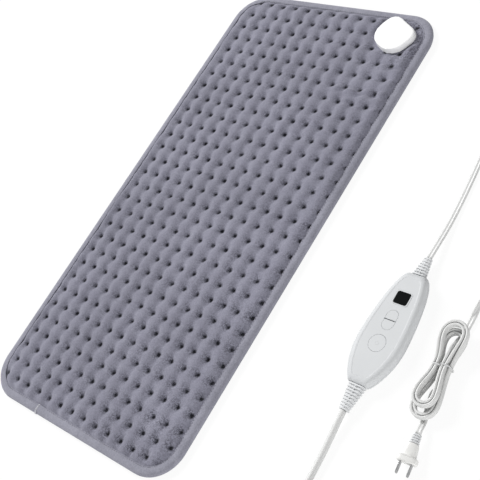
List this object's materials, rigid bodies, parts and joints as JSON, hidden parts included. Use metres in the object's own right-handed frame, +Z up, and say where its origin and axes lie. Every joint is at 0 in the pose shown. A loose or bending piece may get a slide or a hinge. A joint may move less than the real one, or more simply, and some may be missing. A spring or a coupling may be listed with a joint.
{
  "type": "electric heating pad",
  "caption": "Quilted electric heating pad with bound edges, a corner socket, a push-button controller with display, a tied mains lead with plug and a coiled pad lead.",
  "frame": {"origin": "centre of the pad's underside, on the surface that it lies on", "axes": "+X across the pad towards the controller, +Y along the pad towards its socket, +Z up"},
  "size_m": [0.5505, 0.6367, 0.0166],
  "materials": {
    "plush": "matte",
    "binding": "matte",
    "felt": "matte",
    "wire_sleeve": "matte",
    "white_plastic": "satin",
    "case_plastic": "satin",
    "grey_rubber": "matte",
    "lead_sleeve": "satin",
    "plug_moulding": "satin",
    "brass": "satin",
    "steel": "satin",
    "dark_glass": "gloss",
    "dark_plastic": "satin",
    "board": "satin",
    "film": "satin",
    "fuse_glass": "gloss",
    "tie": "matte"
  },
  "bodies": {
    "base": {"back_panel": "plush", "lower_felt": "felt", "heating_wire": "wire_sleeve", "thermal_fuse": "dark_plastic", "upper_felt": "felt", "front_panel": "plush", "edge_binding": "binding", "socket_base": "white_plastic", "socket_cover": "white_plastic", "contact_block": "dark_plastic", "contact_pin_1": "brass", "contact_pin_2": "brass", "contact_pin_3": "brass", "socket_screw_1": "steel", "socket_screw_2": "steel", "case_bottom": "case_plastic", "case_top": "case_plastic", "display_window": "dark_glass", "display_module": "dark_plastic", "circuit_board": "board", "power_switch": "dark_plastic", "level_up_switch": "dark_plastic", "level_down_switch": "dark_plastic", "triac": "dark_plastic", "capacitor": "film", "mains_fuse": "fuse_glass", "case_screw_1": "steel", "case_screw_2": "steel", "mains_strain_relief": "grey_rubber", "pad_strain_relief": "grey_rubber", "mains_lead": "lead_sleeve", "mains_hank": "lead_sleeve", "mains_tail": "lead_sleeve", "hank_tie": "tie", "plug_strain_relief": "plug_moulding", "plug_body": "plug_moulding", "plug_blade_left": "steel", "plug_blade_right": "steel", "pad_lead": "lead_sleeve", "pad_lead_coil": "lead_sleeve", "pad_lead_tail": "lead_sleeve", "coil_tie": "tie", "connector_strain_relief": "grey_rubber", "connector_body": "white_plastic", "connector_contact_1": "brass", "connector_contact_2": "brass", "connector_contact_3": "brass"},
    "power_key": {"power_button": "case_plastic", "power_plunger": "dark_plastic"},
    "level_up_key": {"level_up_button": "case_plastic", "level_up_plunger": "dark_plastic"},
    "level_down_key": {"level_down_button": "case_plastic", "level_down_plunger": "dark_plastic"}
  },
  "joints": [
    {"name": "power_press", "type": "slide", "parent": "base", "child": "power_key", "axis": [0, 0, -1], "range_m": [0, 0.0008], "stiffness_N_per_m": 400},
    {"name": "level_up_press", "type": "slide", "parent": "base", "child": "level_up_key", "axis": [0, 0, -1], "range_m": [0, 0.0008], "stiffness_N_per_m": 400},
    {"name": "level_down_press", "type": "slide", "parent": "base", "child": "level_down_key", "axis": [0, 0, -1], "range_m": [0, 0.0008], "stiffness_N_per_m": 400}
  ]
}
